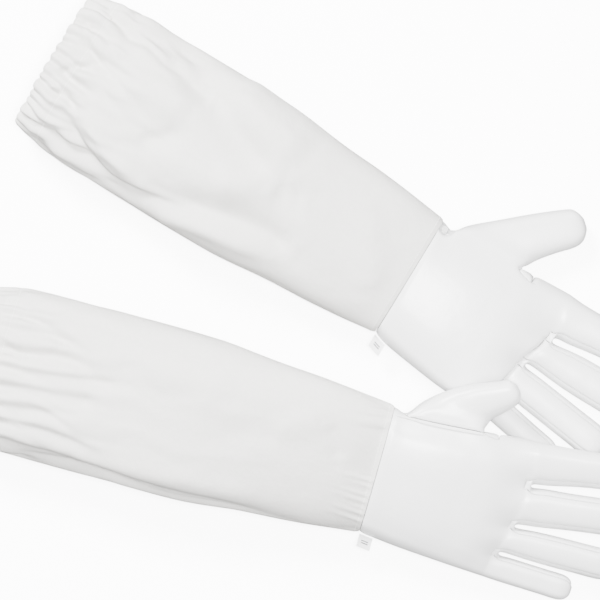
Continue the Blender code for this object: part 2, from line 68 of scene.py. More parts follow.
# Sections: a domed top over a flat underside with rounded edges
MID = 0.45  # height of a section's side edge, as a share of its thickness
DOME = 2.6  # exponent of the top's superellipse
FLAT = 0.55  # share of the half width where the underside is flat

# Hand
HAND_HEIGHT = [(0, 47), (50, 46), (95, 40), (130, 31)]
THUMB_SIDE = [(0, 56.5), (12, 51.5), (78, 55), (92, 57), (119, 58.5), (135, 59)]
HAND_ROWS = [0, 12, 28.5, 45, 61.5, 78, 92, 107]  # then the rows at the finger crotches
# their distance behind the crotches, and the share of the seams' spacing that is left there
CROTCH_ROWS = [(5.5, 0.5), (0.0, 1.0)]
CROTCH_BOW = 1.0  # the middle of a fourchette lies this far beyond the crotch
LITTLE_END, INDEX_END = 116.0, (60.0, 127.0)  # the hand's outer corners: u, and (v, u)
THUMB_ROWS = (1, 5)  # where the thumb's opening starts and ends
KNUCKLES = 100.0  # the hand's smooth back starts to part into fingers here
KNUCKLE_SWELL = 1.06  # thickness at the crotches, as a share of the finger's own
SIDES_FROM, SIDES_SPAN = 80.0, 45.0  # the hand's sides thin to the outer fingers' thickness
EDGE_SHARE = 0.9  # outermost columns of the wrist, as a share of its half width
SPREAD = 125.0  # from the wrist to here the columns draw over to the fingers

# Fingers and thumb
FINGERS = ("index", "middle", "ring", "little")
SEAM_SHARE = 0.76  # a finger's seams lie at this share of its half width
INNER_SHARE = 0.28  # and the columns between them at this one
SHARES = (SEAM_SHARE, INNER_SHARE, -INNER_SHARE, -SEAM_SHARE)
CROWN_SHARE = 0.6 * INNER_SHARE  # the same at the middle of the tip
FINGER_RINGS = (0.16, 0.38, 0.62, 0.84)  # along a finger's straight part
FINGER_BASE, FINGER_END = 1.04, 0.9  # thickness at a finger's base and tip, as shares
SPLAY_OVER, WIDTH_OVER, SLANT_OVER = 20.0, 45.0, 30.0  # lengths over which a finger changes
TIP_RADIUS = 0.95  # of a finger, as a share of its half width
TIP_ANGLES = (0, 38, 66)  # degrees along a rounded tip
TIP_POWERS = (0.8, 0.6)  # how bluntly a tip closes in width and in thickness
TIP_CROWN = 1.06  # bulge of the thumb's tip, as a share of the tip's radius
THUMB_RINGS = (0.16, 0.34, 0.54, 0.76, 1.0)  # along the thumb's rails
THUMB_COLUMNS, THUMB_CROWN = (-1, -0.5, 0, 0.5, 1), (-0.25, 0, 0.25)
THUMB_SIDES = 0.8  # the thumb's seams, as a share of its half width
THUMB_THICK = (31.0, 25.0)  # the thumb's thickness at its base and its tip
THUMB_FLOOR = (2.0, 1.0)  # and the height of its underside
THUMB_FREE = 0.34  # share of its length where the thumb has its own section

# Seams of the leather
GROOVE_DEPTH, GROOVE_WIDTH = 0.75, 1.25
WRIST_DEPTH, WRIST_WIDTH = 0.9, 2.4
SET_IN = {"middle_front", "ring_front", "thumb_gusset"}
SET_IN_DEPTH, SET_IN_WIDTH = 2.6, 2.1  # more depth where those are set into the palm
PULL_BACK = 0.36  # from each panel's edge to its seam line
JOINED_BACK = 0.02  # the same where two panels run on smoothly
TUCK_DEPTH, TUCK_WIDTH = 10.0, 4.4  # the leather folded in at a corner of the wrist seam
PUFF, PUFF_WIDTH = 0.3, 9.0  # panels swell a little between their seams

# Sleeve
SLEEVE_LENGTH = 355.0
CASING, CASING_CANVAS = 21.5, CANVAS - 0.1  # depth of the cuff's hem, and its canvas
HEM = CASING - SLEEVE_LENGTH  # where the hem ends
TURNED_IN = 4.0  # the hem's inner layer runs on this far
CHANNEL = 4.7  # height of the hem's fold, outside to inside
WRIST_GAP = 0.5  # from the sleeve's edge to the wrist seam's line
SLEEVE_HALF = [(-355, 61), (-325, 69), (-270, 71), (-160, 71), (-105, 66), (-60, 63), (0, 56.7)]
SLEEVE_HEIGHT = [(-355, 60), (-320, 68), (-180, 72), (-60, 58), (0, 47)]
AROUND, ALONG = 220, 190  # points of the sleeve's grid
MEASURED_AT = -200.0  # the sleeve's girth is taken here
ELASTIC_WIDTH, ELASTIC_THICKNESS, ELASTIC_INSET = 15.0, 1.3, CANVAS + 0.6
WRIST_ELASTIC, WRIST_ELASTIC_THICKNESS = (-12.0, -4.0), 1.0
WRIST_ELASTIC_INSET = (0.08, 0.06)  # from the sides, in turns, on the underside and on top
SEAM_STRIP, SEAM_BUILD = 9.0, (0.8, 1.1)  # the felled seam's width, thickness and height
SEAM_ENDS = (2.0, 4.0)  # its ends, from the hem and from the wrist seam
SEAM_TURN = 0.014  # its distance from the little finger's side, in turns
BEND_HEIGHT = 20.0
# ends of a bend of the canvas from the hand to the sleeve, over 60 mm behind the wrist seam; the
# pieces given it are not bent
SLEEVE_BEND = ("sleeve", (0, 0, BEND_HEIGHT), (-60.0, 0, BEND_HEIGHT))
BLEND_THUMB = 22.0  # and of the leather over this length beyond the thumb's base; the thumb pieces are not bent either

# Folds of the sleeve
UPWARD = 0.4  # the canvas is on top where its normal rises more than this
SLACK_WRIST, SLACK_CUFF, SLACK_UNDER = 25.0, 20.0, 0.35  # folds fade towards these
ROUTE_STEPS = 20  # straight steps in a soft fold's route
FOLD_RISE, FOLD_END = 0.25, 0.25  # its ends, as shares of its length and of its height
CREASE_FADE = 1.5  # how steeply a crease fades beyond its reach
CREASES = 34  # gathers round the cuff
CREASE_PLACE, CREASE_WIDTH, CREASE_DEPTH = (-0.3, 0.3), (0.2, 0.36), (0.5, 1.1)
GATHER_SLANT = 0.0003  # how far a gather may drift round the sleeve, in turns a millimetre
GATHER_MEAN, GATHER_FADE, GATHER_UNDER = 0.5, 60.0, 0.45
WANDER, WANDER_LENGTH, WANDER_TURNS = 0.03, 34.0, 2.6  # drift in turns, its waves' size
WANDER_FROM, WANDER_SPAN = 8.0, 30.0  # the gathers run straight up to here
SCALLOP, SCALLOP_MEAN, SCALLOP_FADE = 1.8, 0.4, 12.0  # the gathers draw the cuff's edge in
HEM_DEPTH, HEM_WIDTH, HEM_PULL = 0.4, 2.4, 1.5  # the hem's stitching pulls the canvas in
LONG_WAVES, SHORT_WAVES, PUFF_WAVES = (64, 25), (26, 11), (38, 17)  # length and width
CALM, CRUMPLE, PUFFS, PUFF_MEAN = 0.35, 1.6, 3.0, 0.4  # their heights, far and near the cuff
# groups of short ridges behind the wrist elastic: v from, v to, how many
PUCKERS = [(34, 56, 4), (-49, -8, 7)]
PUCKER_WIDTH, PUCKER_HEIGHT, PUCKER_REACH = (1.5, 2.3), (1.3, 2.3), (14, 27)
PUCKER_PLACE = (0.2, 0.8)  # where in its share of the width a pucker may lie
PUCKER_RISE, PUCKER_FAN, PUCKER_MEAN, PUCKER_UNDER = 5.0, 400.0, 0.15, 0.4

# Trim
TUBE_SIDES = 8
TOPSTITCH, HEM_STITCH = 4.2, 2.2  # rows of stitches, from the wrist seam and the hem's end
STITCH_PITCH, STITCH_LENGTH, STITCH_RADIUS = 3.0, 2.1, 0.26
# points of a stitch: share of its length, height and share of its radius
STITCH = ((-0.5, -0.1, 0.5), (-0.3, 0.12, 1.0), (0.3, 0.12, 1.0), (0.5, -0.1, 0.5))
BINDING_WIDTH, BINDING_THICKNESS, BINDING_GAP = 7.0, 0.8, 0.4  # the gap is to the leather
PIPING_RADIUS, PIPING_BACK = 1.0, 2.6  # the bead, and its distance from the panel's edge
PIPING_STEPS, PIPING_START, PIPING_LIFT = 60, 1.5, 0.05
PIPING_END, PIPING_SWELL, PIPING_SWELL_POWER = 0.35, 6, 0.8  # how its ends taper
LABEL_FROM, LABEL_TO, LABEL_REACH = 0.8, 12.8, 11.0
LABEL_RISE, LABEL_BOW, LABEL_INSET, LABEL_THICKNESS = 0.7, 0.8, 0.9, 0.6
MARK_ROWS, MARK_COLUMNS, MARK_RADIUS = (5, 7), slice(2, 7), 0.45

# Colours
LEATHER_COLOUR = (0.83, 0.83, 0.827)
PIPING_COLOUR = (0.80, 0.80, 0.795)
CANVAS_COLOUR = (0.69, 0.681, 0.657)

# Light and camera
WORLD = 0.9
LIGHTS = {"key": ((-1.5, 1.08, 1.7), 0.8, 220.0), "top": ((0.1, 0.1, 2.2), 0.45, 150.0)}
FLOOR_GLOW, FLOOR_REACH, FLOOR_DROP = 7.0, 4.0, 0.0005  # the floor is a light table
CAMERA_SPOT, CAMERA_TURN = (-0.029565, 0.025674, 2.585), 23.4
LENS, SENSOR = 180, 36

# Lift of the right hand's thumb side, which rests on the left glove
LIFT_FROM, LIFT_SPAN, LIFT_FADE = -60.0, 120.0, 220.0

# soft folds on a sleeve's top: points (u, v), half width on each side, height
LEFT_FOLDS = [
    ([(-256, 62), (-224, 48), (-178, 22), (-134, 3)], 12, 19, -2.9),
    ([(-214, 60), (-170, 50), (-122, 40)], 18, 20, 2.2),
    ([(-187, -25), (-156, -4), (-128, 8)], 16, 15, 2.2),
    ([(-152, 10), (-128, 2), (-107, 11)], 12, 16, -1.1),
    ([(-215, -54), (-171, -42), (-123, -33), (-92, -37)], 13, 9, -2.8),
    ([(-222, -69), (-170, -58), (-110, -50)], 7, 7, 1.8),
    ([(-322, -34), (-293, -52), (-257, -64), (-196, -55)], 3.5, 8, -2.6),
    ([(-312, -24), (-276, -44), (-236, -52)], 8, 6, 2.0),
    ([(-333, -58), (-300, -60), (-268, -63)], 3, 5, -2.4),
    ([(-278, 54), (-238, 42), (-218, 43)], 6, 10, -1.6),
    ([(-255, -26), (-226, 2)], 7, 11, -1.5),
    ([(-338, 40), (-280, 62), (-232, 66)], 6, 9, -1.8),
    ([(-300, 10), (-262, 22), (-226, 20)], 12, 14, 1.6),
    ([(-350, 44), (-335, 38), (-302, 27)], 4, 5, -1.5),
    ([(-350, 24), (-310, 19), (-276, 17)], 4, 5, -1.4),
    ([(-350, 8), (-320, 13), (-292, 10)], 4, 6, -1.4),
    ([(-345, -2), (-327, -8), (-300, -11)], 4, 6, -1.2),
    ([(-60, 30), (-34, -6), (-22, -34)], 12, 16, 0.9),
    ([(-352, 45), (-342, 32), (-318, 17), (-292, 11)], 2.5, 5, -1.3),
    ([(-350, 52), (-336, 40), (-322, 31), (-300, 28)], 5, 2.5, 1.1),
    ([(-342, 60), (-322, 57), (-300, 50)], 4, 5, -1.6),
    ([(-346, -12), (-332, 2), (-314, 18)], 3, 3, -1.0),
    ([(-344, -30), (-328, -22), (-308, -34)], 3, 4, -1.1),
]
RIGHT_FOLDS = [
    ([(-350, 54), (-328, 57), (-292, 59)], 4, 5, -1.9),
    ([(-350, 41), (-316, 47), (-262, 31)], 4, 6, -2.2),
    ([(-350, 30), (-300, 37), (-276, 36)], 4, 6, -1.7),
    ([(-350, 12), (-291, 22), (-262, 24)], 5, 6, -2.0),
    ([(-350, 2), (-295, 3), (-218, 14)], 4, 7, -2.2),
    ([(-350, -18), (-271, -10), (-240, -6)], 5, 7, -2.0),
    ([(-350, -34), (-300, -30), (-262, -24)], 5, 6, -1.8),
    ([(-350, -47), (-282, -43), (-232, -48)], 4, 6, -2.2),
    ([(-345, -61), (-256, -63), (-185, -65)], 4, 6, -2.4),
    ([(-313, -69), (-196, -67), (-60, -62)], 5, 12, -2.2),
    ([(-240, -56), (-150, -52), (-80, -48)], 9, 9, 1.6),
    ([(-50, 30), (-40, 14), (-34, -2)], 5, 9, -1.1),
    ([(-96, 4), (-74, 22), (-58, 32)], 9, 14, 1.0),
    ([(-230, 30), (-180, 34), (-130, 22)], 22, 18, 1.8),
    ([(-140, -10), (-110, 6), (-84, 4)], 14, 12, -1.0),
]

GLOVES = {
    "left": dict(
        palm_up=True,
        lift=0.0,
        little_side=[(0, -56.7), (15, -61), (60, -67), (76, -68.5), (118, -68.5)],
        crotches=[(133.7, 16.9), (125.0, -12.7), (120.0, -44.0)],
        # centre across the hand, half width at base and middle, splay, length, thickness
        fingers=[
            (38.3, 18.6, 16.4, 5.0, 88, 29),
            (2.1, 13.4, 16.4, 0.4, 102, 29),
            (-28.4, 14.2, 14.6, -7.0, 98, 27),
            (-57.0, 11.4, 11.4, -10.0, 70, 20),
        ],
        thumb_outer=[(12, 51.5), (22, 65), (40, 81), (60, 99), (82, 117)],
        thumb_inner=[(78, 55), (83, 63), (90, 73), (99, 84), (108, 94)],
        thumb_tip=15.0,
        thumb_rise=0.0,
        tuck=(6.0, 50.5),
        folds=LEFT_FOLDS,
        fold_scale=3.0,
        gather_reach=(34, 110),  # length of the shortest and the longest gather
        gather_depth=6.5,
        ripple=1.2,
        crumpled=75,  # length of the crumpled canvas at the cuff
        seed=7,
    ),
    "right": dict(
        palm_up=False,
        lift=27.0,
        little_side=[(0, -56.7), (33, -60.4), (83, -63.8), (118, -66)],
        crotches=[(130.4, 21.2), (127.0, -15.9), (120.3, -42.5)],
        fingers=[
            (40.5, 18.2, 15.6, 8.8, 89, 29),
            (2.7, 17.2, 15.6, 7.6, 99, 29),
            (-29.2, 12.0, 13.4, 0.6, 95, 27),
            (-55.0, 11.2, 11.2, -2.0, 71, 24),
        ],
        thumb_outer=[(12, 51.5), (22, 66), (37, 79), (58, 91.5), (80, 100)],
        thumb_inner=[(78, 55), (80.5, 64), (86, 70.5), (93, 77), (98, 82.5)],
        thumb_tip=10.0,
        thumb_rise=4.0,
        tuck=None,
        folds=RIGHT_FOLDS,
        fold_scale=2.0,
        gather_reach=(45, 190),
        gather_depth=4.8,
        ripple=0.75,
        crumpled=45,
        seed=19,
    ),
}


# ---- curves and sections


def mix(a, b, t):
    return a + (b - a) * t


def smooth(t):
    t = np.clip(t, 0.0, 1.0)
    return t * t * (3 - 2 * t)


def bell(distance, width):
    """1 at no distance, and almost 0 beyond twice the width."""
    return np.exp(-((distance / width) ** 2))


def unit(vectors):
    return vectors / np.maximum(np.linalg.norm(vectors, axis=-1, keepdims=True), 1e-9)


def along(stations, at):
    """Value at a place on the smooth curve through (place, value) stations."""
    places, values = zip(*stations)
    if not places[0] < at < places[-1]:
        return values[0 if at <= places[0] else -1]
    i = max(k for k in range(len(places) - 1) if places[k] <= at)

    def slope(k):
        low, high = max(k - 1, 0), min(k + 1, len(places) - 1)
        return (values[high] - values[low]) / (places[high] - places[low])

    span, rise = places[i + 1] - places[i], values[i + 1] - values[i]
    t = (at - places[i]) / span
    bend = t * (1 - t) * ((1 - t) * (slope(i) * span - rise) - t * (slope(i + 1) * span - rise))
    return values[i] + rise * t + bend


def rail(points, t):
    """Point at t, 0 to 1, on the smooth curve through (u, v) points."""
    steps = len(points) - 1
    return tuple(along([(k / steps, p[axis]) for k, p in enumerate(points)], t) for axis in (0, 1))


def top_share(x):
    """Height of a section's top at share x of its half width, as a share of its thickness."""
    return MID + (1 - MID) * max(0.0, 1 - abs(x) ** DOME) ** (1 / DOME)


def bottom_share(x):
    """Height of a section's underside at share x of its half width."""
    edge = min(1.0, max(0.0, (abs(x) - FLAT) / (1 - FLAT)))
    return MID * (1 - math.sqrt(1 - edge * edge))


def side_share(_):
    """Height of a section's side edge."""
    return MID


def lift(glove, u, v):
    """How far the hand is propped up there by the glove under it."""
    side = np.maximum(0.0, (v - LIFT_FROM) / LIFT_SPAN)
    return glove.lift * side * smooth(1 + u / LIFT_FADE)


def find_place(glove):
    """The glove's own axes in the pair's frame, from the joint along its wrist seam."""
    joint = next(j for j in frame["joints"] if j["name"] == glove.side + "_wrist_fold")
    across, up = Vector((*joint["axis"][:2], 0)).normalized(), Vector((0, 0, 1))
    glove.origin = np.array([*joint["pos_m"][:2], 0.0])
    glove.axes = np.array([across.cross(up), across, up])


def to_world(glove, points):
    """Glove points in millimetres as points of the pair in metres, none under the floor."""
    world = np.asarray(points, float) @ glove.axes * MM + glove.origin
    world[:, 2] = np.maximum(world[:, 2], 0.0)
    return world


def placed(name, data):
    """A new object in the scene."""
    made = bpy.data.objects.new(name, data)
    bpy.context.scene.collection.objects.link(made)
    return made


# ---- the hand's skin


class Skin:
    """Points and labelled quads of a hand's coarse surface."""

    def __init__(self, glove):
        self.glove = glove
        self.points, self.quads, self.labels = [], [], []

    def point(self, u, v, z):
        self.points.append((u, v, z + lift(self.glove, u, v)))
        return len(self.points) - 1

    def quad(self, a, b, c, d, label):
        if label:
            self.quads.append((a, b, c, d))
            self.labels.append(label)

    def strip(self, ring, following, labels):
        for i in range(len(ring)):
            j = (i + 1) % len(ring)
            self.quad(ring[i], ring[j], following[j], following[i], labels[i])


def hand_edges(glove, u):
    """Centre and half width of the hand's section at u."""
    high, low = along(THUMB_SIDE, u), along(glove.little_side, u)
    return (high + low) / 2, (high - low) / 2


def crotch_line(glove, v):
    """Where along the hand the fingers begin, at v across it."""
    centre, half = glove.fingers[-1][:2]
    ends = [(centre - half, LITTLE_END)] + [(c[1], c[0]) for c in reversed(glove.crotches)]
    return along(ends + [INDEX_END], v)


def column_places(glove, together):
    """The 16 columns of a hand, four a finger: [finger, share of it, v at the crotches]."""
    fingers = enumerate(glove.fingers)
    places = [[k, share, f[0] + share * f[1]] for k, f in fingers for share in SHARES]
    if together is not None:  # the seams turn round the gaps there
        for a, b in zip(places[3:-1:4], places[4::4]):
            gap = (a[2] + b[2]) / 2
            a[2], b[2] = mix(gap, a[2], together), mix(gap, b[2], together)
    return places


def hand_ring(skin, glove, row):
    """One row of the hand's skin: thumb side, top, little side, underside."""
    behind, together = 0.0, None
    if row >= len(HAND_ROWS):
        behind, together = CROTCH_ROWS[row - len(HAND_ROWS)]
    columns = column_places(glove, together)

    def row_place(v_crotch):
        if together is None:
            return HAND_ROWS[row]
        return crotch_line(glove, v_crotch) - behind

    def corner(column, shares):
        finger, share, v_crotch = columns[column]
        u = row_place(v_crotch)
        if column == 0 and THUMB_ROWS[0] <= row <= THUMB_ROWS[1]:
            height = shares(EDGE_SHARE) * along(HAND_HEIGHT, u)
            return skin.point(u, along(THUMB_SIDE, u), height)
        centre, half = hand_edges(glove, u)
        crotch = crotch_line(glove, v_crotch)
        centre_last, half_last = hand_edges(glove, crotch)
        x_wrist = EDGE_SHARE * (1 - 2 * column / (len(columns) - 1))
        x = mix(x_wrist, (v_crotch - centre_last) / half_last, smooth(u / SPREAD))
        wide = shares(x) * along(HAND_HEIGHT, u)
        narrow = shares(share) * glove.fingers[finger][5] * KNUCKLE_SWELL
        height = mix(wide, narrow, smooth((u - KNUCKLES) / (crotch - KNUCKLES)))
        return skin.point(u, centre + x * half, height)

    def side(finger, sign):
        finger_centre, finger_half, *_, thick = glove.fingers[finger]
        u = row_place(finger_centre + sign * finger_half)
        centre, half = hand_edges(glove, u)
        height = mix(along(HAND_HEIGHT, u), thick, smooth((u - SIDES_FROM) / SIDES_SPAN))
        return skin.point(u, centre + sign * half, MID * height)

    near = side(0, 1)
    top = [corner(k, top_share) for k in range(len(columns))]
    far = side(3, -1)
    bottom = [corner(k, bottom_share) for k in reversed(range(len(columns)))]
    return [near] + top + [far] + bottom


def top_first(glove, palm_side, back_side):
    """The two, with the one that faces up first."""
    return (palm_side, back_side) if glove.palm_up else (back_side, palm_side)


def side_names(glove):
    return top_first(glove, "palm_panel", "back_panel")


def finger_panel(panel, finger):
    """The piece that covers a finger on one side: two fronts are set in."""
    if panel == "palm_panel" and finger in (1, 2):
        return FINGERS[finger] + "_front"
    return panel


def fourchette(gap):
    return f"fourchette_{FINGERS[gap]}_{FINGERS[gap + 1]}"


def hand_labels(glove, row):
    """The piece of each stretch of the hand's skin between two rows."""
    top, bottom = side_names(glove)

    def panels(name):
        if row < len(HAND_ROWS):
            return [name] * 15
        return [fourchette(k // 4) if k % 4 == 3 else finger_panel(name, k // 4) for k in range(15)]

    near = (top, bottom)
    if THUMB_ROWS[0] <= row <= THUMB_ROWS[1]:
        near = ("thumb_gusset",) * 2 if row == THUMB_ROWS[1] else (None, None)
    return [near[0]] + panels(top) + [top, bottom] + panels(bottom)[::-1] + [near[1]]


def add_tip(skin, ring, points, labels):
    """Closes a finger or thumb beyond its last ring, over a row of middle points."""
    count = (len(ring) - 2) // 2
    top, bottom = ring[1 : count + 1], ring[count + 2 :][::-1]
    middle = [ring[0]] + points + [ring[count + 1]]
    for k in range(count - 1):
        skin.quad(top[k], top[k + 1], middle[k + 1], middle[k], labels[0])
        skin.quad(middle[k], middle[k + 1], bottom[k + 1], bottom[k], labels[1])


def tip_rings(angles):
    """Advance, width and thickness, as shares, of the rings of a rounded tip."""
    for turned in map(math.radians, angles):
        yield math.sin(turned), *(math.cos(turned) ** power for power in TIP_POWERS)


def add_rings(skin, ring, stations, columns, labels, point):
    """Skin over the rings at some stations, beyond the ring it starts from; the last ring."""
    edge = math.copysign(1, columns[0])
    for station in stations:
        tops = [point(station, x, top_share) for x in columns]
        lows = [point(station, x, bottom_share) for x in columns]
        near, far = (point(station, x, side_share) for x in (edge, -edge))
        following = [near] + tops + [far] + lows[::-1]
        skin.strip(ring, following, labels)
        ring = following
    return ring


def finger_rings(skin, glove, finger, base):
    """Skin of one finger from its base ring on the hand to its tip."""
    centre, half, half_middle, splay, length, height = glove.fingers[finger]
    turned = math.radians(splay)
    start = crotch_line(glove, centre)
    radius = half_middle * TIP_RADIUS
    body = length - radius
    stations = [(share * body, 1.0, 1.0) for share in FINGER_RINGS]
    stations += [(body + share * radius, *ring) for share, *ring in tip_rings(TIP_ANGLES)]

    def spot(s, share, z):
        bent = turned * min(1.0, s / SPLAY_OVER)
        wide = mix(half, half_middle, smooth(s / WIDTH_OVER))
        lag = crotch_line(glove, centre + share * half) - start
        lag *= max(0.0, 1 - s / SLANT_OVER)
        reach_u = s * math.cos(turned) - share * wide * math.sin(bent)
        reach_v = s * math.sin(turned) + share * wide * math.cos(bent)
        return skin.point(start + reach_u + lag, centre + reach_v, z)

    def ring_point(station, share, shares):
        s, width, thick = station
        tall = mix(height * FINGER_BASE, height * FINGER_END, s / length)
        low = MID * tall
        return spot(s, share * width, low + (shares(share) * tall - low) * thick)

    top, bottom = (finger_panel(name, finger) for name in side_names(glove))
    near = [fourchette(finger - 1)] * 2 if finger > 0 else [top, bottom]
    far = [fourchette(finger)] * 2 if finger < 3 else [top, bottom]
    labels = [near[0]] + [top] * 3 + far + [bottom] * 3 + [near[1]]
    ring = add_rings(skin, base, stations, SHARES, labels, ring_point)
    crown = MID * height * FINGER_END
    tips = [spot(length, share, crown) for share in (CROWN_SHARE, -CROWN_SHARE)]
    add_tip(skin, ring, tips, (top, bottom))


def thumb_rings(skin, glove, rings):
    """Skin of the thumb, from the opening in the hand's side to its tip."""
    first, final = THUMB_ROWS
    rows = range(first, final + 1)
    base = [rings[first][0]] + [rings[row][1] for row in rows]
    base += [rings[final][0]] + [rings[row][-1] for row in reversed(rows)]
    names = top_first(glove, "thumb_front", "thumb_back")
    outer, inner = glove.thumb_outer, glove.thumb_inner
    across = Vector(rail(inner, 1.0)) - Vector(rail(outer, 1.0))
    ahead = Vector((-across.y, across.x)).normalized()
    tip = glove.thumb_tip
    stations = [(t, 0.0, 1.0, 1.0) for t in THUMB_RINGS]
    stations += [(1.0, share * tip, *ring) for share, *ring in tip_rings(TIP_ANGLES[1:])]

    def spot(t, x, z, advance):
        """x is 1 on the side towards the index finger and -1 on the outer side."""
        flat = Vector(rail(outer, t)).lerp(Vector(rail(inner, t)), (1 + x) / 2) + ahead * advance
        return skin.point(flat.x, flat.y, z)

    def height(t, x, shares, thick):
        """Height of the skin there, from the hand's own section to the thumb's."""
        hand = along(HAND_HEIGHT, mix(HAND_ROWS[first], HAND_ROWS[final], (1 + x) / 2))
        tall = mix(*THUMB_THICK, t)
        middle = mix(THUMB_FLOOR[0], THUMB_FLOOR[1] + glove.thumb_rise, t) + MID * tall
        own = (shares(x * THUMB_SIDES) - MID) * tall * thick
        return mix(shares(EDGE_SHARE) * hand, middle + own, smooth(t / THUMB_FREE))

    def ring_point(station, x, shares):
        t, advance, width, thick = station
        drawn_in = 1.0 if shares is side_share else mix(1.0, THUMB_SIDES, smooth(t / THUMB_FREE))
        return spot(t, x * (drawn_in * width), height(t, x, shares, thick), advance)

    labels = [names[0]] * 6 + [names[1]] * 6
    ring = add_rings(skin, base, stations, THUMB_COLUMNS, labels, ring_point)
    crown = height(1.0, 0, side_share, 1)
    add_tip(skin, ring, [spot(1.0, x, crown, tip * TIP_CROWN) for x in THUMB_CROWN], names)


def hand_skin(glove):
    """The whole hand's coarse skin, and its rows."""
    skin = Skin(glove)
    rings = [hand_ring(skin, glove, row) for row in range(len(HAND_ROWS) + len(CROTCH_ROWS))]
    for row in range(len(rings) - 1):
        skin.strip(rings[row], rings[row + 1], hand_labels(glove, row))
    last = rings[-1]
    top, bottom = last[1:17], last[18:][::-1]
    sides = [last[0]]
    for gap, (u, _) in enumerate(glove.crotches):
        pair = []
        for finger, sign in ((gap, -1), (gap + 1, 1)):
            centre, half, *_, thick = glove.fingers[finger]
            pair.append(skin.point(u + CROTCH_BOW, centre + sign * half, MID * thick))
        a, b = 4 * gap + 3, 4 * gap + 4
        skin.quad(top[a], top[b], pair[1], pair[0], fourchette(gap))
        skin.quad(pair[0], pair[1], bottom[b], bottom[a], fourchette(gap))
        sides += pair
    sides.append(last[17])
    for finger in range(4):
        near, far = sides[2 * finger : 2 * finger + 2]
        tops, lows = top[4 * finger : 4 * finger + 4], bottom[4 * finger : 4 * finger + 4]
        finger_rings(skin, glove, finger, [near] + tops + [far] + lows[::-1])
    thumb_rings(skin, glove, rings)
    return skin, rings


# ---- smooth skin and its seams


def subdivided(points, quads, labels):
    """Smooth skin that passes through the coarse points: points, quads and their labels."""
    used = sorted({k for quad in quads for k in quad})
    place = {k: i for i, k in enumerate(used)}
    target = np.array([points[k] for k in used])
    faces = [tuple(place[k] for k in quad) for quad in quads]
    control = target.copy()
    for _ in range(FITTING):
        mesh = bpy.data.meshes.new("coarse")
        mesh.from_pydata(control.tolist(), [], faces)
        carrier = placed("coarse", mesh)
        carrier.modifiers.new("smooth", "SUBSURF").levels = LEVEL
        made = carrier.evaluated_get(bpy.context.evaluated_depsgraph_get()).to_mesh()
        fine = np.array([vertex.co[:] for vertex in made.vertices])
        corners = np.array([face.vertices[:] for face in made.polygons])
        bpy.data.objects.remove(carrier, do_unlink=True)
        bpy.data.meshes.remove(mesh)
        control += target - fine[: len(target)]
    return fine, corners, np.repeat(labels, 4**LEVEL)


def quad_normals(points, quads):
    """Normals at the points of a mesh of quads."""
    corners = points[quads]
    area = np.cross(corners[:, 2] - corners[:, 0], corners[:, 3] - corners[:, 1])
    total = np.zeros_like(points)
    for k in range(4):
        np.add.at(total, quads[:, k], area)
    return unit(total)


def rim_edges(quads):
    """The edges that only one quad has, in that quad's direction."""
    edges = {pair for quad in quads.tolist() for pair in zip(quad, quad[1:] + quad[:1])}
    return [(a, b) for a, b in sorted(edges) if (b, a) not in edges]


def edge_table(quads, labels):
    """The labels of the quads beside each edge, by its sorted ends: one at a rim, else two."""
    beside = {}
    for quad, label in zip(quads.tolist(), labels.tolist()):
        for a, b in zip(quad, quad[1:] + quad[:1]):
            beside.setdefault((min(a, b), max(a, b)), []).append(label)
    return beside


def distances(points, beside, wanted):
    """Distance of every point to the edges whose labels are wanted, by five spots on each."""
    edges = [edge for edge, labels in beside.items() if wanted(labels)]
    steps = np.linspace(0, 1, 5)
    spots = [points[a] * (1 - t) + points[b] * t for a, b in edges for t in steps]
    tree = KDTree(len(spots))
    for k, spot in enumerate(spots):
        tree.insert(spot, k)
    tree.balance()
    return np.array([tree.find(p)[2] for p in points])


def is_seam(pair):
    """Whether two panels meet there in a sewn seam; a palm runs on into its thumb's front."""
    return len(pair) == 2 and pair[0] != pair[1] and set(pair) != {"palm_panel", "thumb_front"}


def is_set_in(pair):
    """Whether a finger's front or the thumb's gusset is set into the palm there."""
    return "palm_panel" in pair and not SET_IN.isdisjoint(pair)


def shape_seams(glove, points, normals, beside):
    """Sinks the seams between the panels and lets the leather swell beside them."""
    near = distances(points, beside, is_seam)
    rim = distances(points, beside, lambda labels: len(labels) == 1)
    move = PUFF * (1 - bell(near, PUFF_WIDTH))
    move -= GROOVE_DEPTH * bell(near, GROOVE_WIDTH)
    move -= WRIST_DEPTH * bell(rim, WRIST_WIDTH)
    move -= SET_IN_DEPTH * bell(distances(points, beside, is_set_in), SET_IN_WIDTH)
    if glove.tuck:
        from_tuck = np.hypot(*(points[:, :2] - glove.tuck).T)
        move -= TUCK_DEPTH * bell(from_tuck, TUCK_WIDTH) * (normals[:, 2] > 0)
    return points + normals * move[:, None]


def shell(points, quads, normals, thickness, pulls=0.0):
    """Closed skin of a thickness inside a patch: its points and faces."""
    used, flat = np.unique(quads, return_inverse=True)
    patch, count = flat.reshape(-1, 4), len(used)
    outer = (points + pulls)[used]
    inner = outer - normals[used] * thickness
    faces = patch.tolist() + (patch[:, ::-1] + count).tolist()
    faces += [(b, a, a + count, b + count) for a, b in rim_edges(patch)]
    return np.vstack([outer, inner]), faces


def rim_pulls(points, normals, quads, beside):
    """Moves that pull a patch's edge back from its seam line."""
    moves = np.zeros_like(points)
    for a, b in rim_edges(quads):
        inward = unit(np.cross(normals[a], points[b] - points[a]))
        back = PULL_BACK if is_seam(beside[min(a, b), max(a, b)]) else JOINED_BACK
        moves[[a, b]] += inward * back / 2
    return moves


